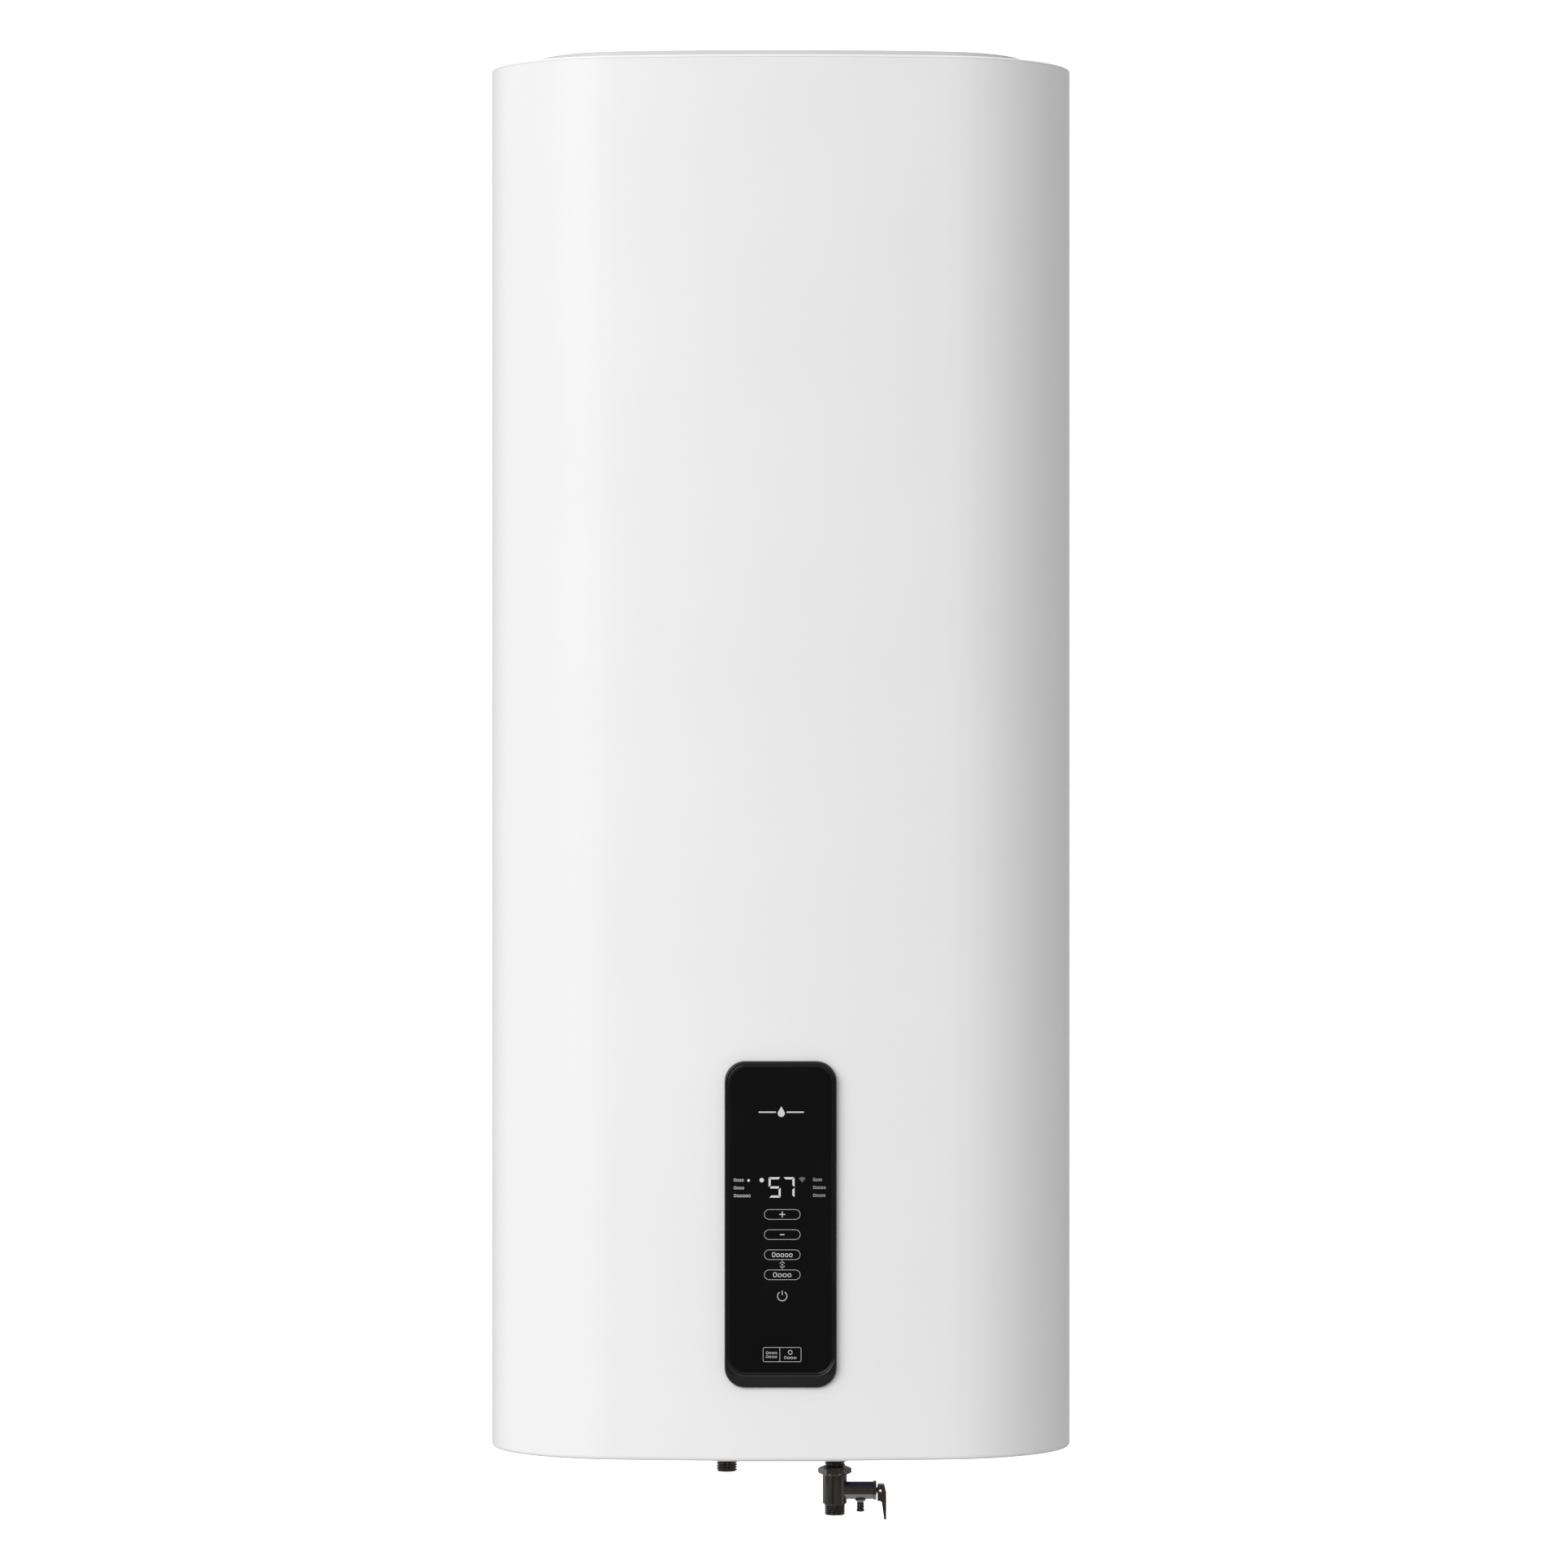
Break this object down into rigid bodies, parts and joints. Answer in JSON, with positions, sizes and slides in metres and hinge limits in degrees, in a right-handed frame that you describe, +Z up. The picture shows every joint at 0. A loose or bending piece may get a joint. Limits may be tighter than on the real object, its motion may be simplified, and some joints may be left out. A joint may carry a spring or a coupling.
{
  "type": "wall-hung electric storage water heater",
  "caption": "Flat white wall-hung electric storage water heater with an oval section, a black touch panel, threaded pipe nipples below and a lever-operated relief valve.",
  "frame": {"origin": "midway between the upper wall rail's two slots, on the wall plane", "axes": "+Z up, +Y into the wall, -Y out of the front, +X towards the cold connection on the right"},
  "size_m": [0.57, 0.318, 1.437],
  "materials": {
    "white_steel": "gloss",
    "white_plastic": "satin",
    "galvanised": "satin",
    "enamelled_steel": "gloss",
    "stainless": "satin",
    "dark_nickel_steel": "gloss",
    "dark_nickel_brass": "gloss",
    "copper_sheath": "satin",
    "magnesium": "matte",
    "foam": "matte",
    "black_gloss": "gloss",
    "black_glass": "gloss",
    "black_rubber": "matte",
    "black_plastic": "matte",
    "grey_plastic": "matte",
    "circuit_board": "satin",
    "relay_plastic": "satin",
    "blue_plastic": "satin",
    "red_plastic": "satin",
    "steel": "satin"
  },
  "bodies": {
    "heater": {"casing_front": "white_steel", "casing_rear": "white_steel", "top_cap": "white_plastic", "bottom_cap": "white_plastic", "connection_cover": "white_plastic", "cover_screws": "steel", "cap_screws": "steel", "insulation_foam": "foam", "upper_wall_rail": "galvanised", "hanger_hooks": "galvanised", "hanger_nuts": "steel", "wall_spacers": "black_rubber", "inlet_tank": "enamelled_steel", "outlet_tank": "enamelled_steel", "inlet_nipple": "dark_nickel_steel", "outlet_nipple": "dark_nickel_steel", "inlet_ring": "blue_plastic", "outlet_ring": "red_plastic", "inlet_diffuser": "grey_plastic", "outlet_draw_tube": "stainless", "transfer_pipe": "stainless", "dip_tube": "grey_plastic", "inlet_flange": "galvanised", "outlet_flange": "galvanised", "flange_gaskets": "black_rubber", "flange_bolts": "steel", "inlet_element": "copper_sheath", "outlet_element": "copper_sheath", "magnesium_anodes": "magnesium", "sensor_wells": "stainless", "thermal_cutout": "black_plastic", "temperature_sensor": "stainless", "power_board": "circuit_board", "power_relays": "relay_plastic", "terminal_block": "grey_plastic", "board_tray": "grey_plastic", "cable_gland": "black_plastic", "panel_lead": "black_rubber", "element_leads": "black_rubber", "panel_gasket": "black_rubber", "panel_frame": "black_gloss", "panel_glass": "black_glass", "display_board": "circuit_board", "display_module": "grey_plastic", "touch_pads": "black_rubber", "wireless_module": "galvanised", "panel_back_cover": "black_plastic", "panel_screws": "steel", "valve_body": "dark_nickel_brass", "check_spring": "stainless", "check_retainer": "grey_plastic", "relief_spring": "stainless", "relief_bonnet": "dark_nickel_brass"},
    "relief_plunger": {"relief_stem": "dark_nickel_brass", "relief_disc": "black_rubber"},
    "lever": {"valve_lever": "dark_nickel_steel", "lever_pin": "dark_nickel_steel"},
    "check_poppet": {"check_cone": "grey_plastic", "check_seal": "black_rubber"},
    "reset": {"reset_button": "red_plastic"}
  },
  "joints": [
    {"name": "relief_slide", "type": "slide", "parent": "heater", "child": "relief_plunger", "axis": [1, 0, 0], "range_m": [0, 0.0048], "stiffness_N_per_m": 2000, "springref_m": -0.005, "deforming": ["relief_spring"]},
    {"name": "lever_swing", "type": "hinge", "parent": "relief_plunger", "child": "lever", "pos_m": [0.0982, -0.162, -1.2142], "axis": [0, -1, 0], "range_deg": [0, 90]},
    {"name": "check_lift", "type": "slide", "parent": "heater", "child": "check_poppet", "axis": [0, 0, 1], "range_m": [0, 0.003], "stiffness_N_per_m": 200, "springref_m": -0.002, "deforming": ["check_spring"]},
    {"name": "reset_press", "type": "slide", "parent": "heater", "child": "reset", "axis": [0, 0, 1], "range_m": [0, 0.0015], "stiffness_N_per_m": 400, "springref_m": -0.001}
  ],
  "couplings": [
    {"joint": "lever_swing", "follows": "relief_slide", "rad_per_m": 327.24}
  ]
}
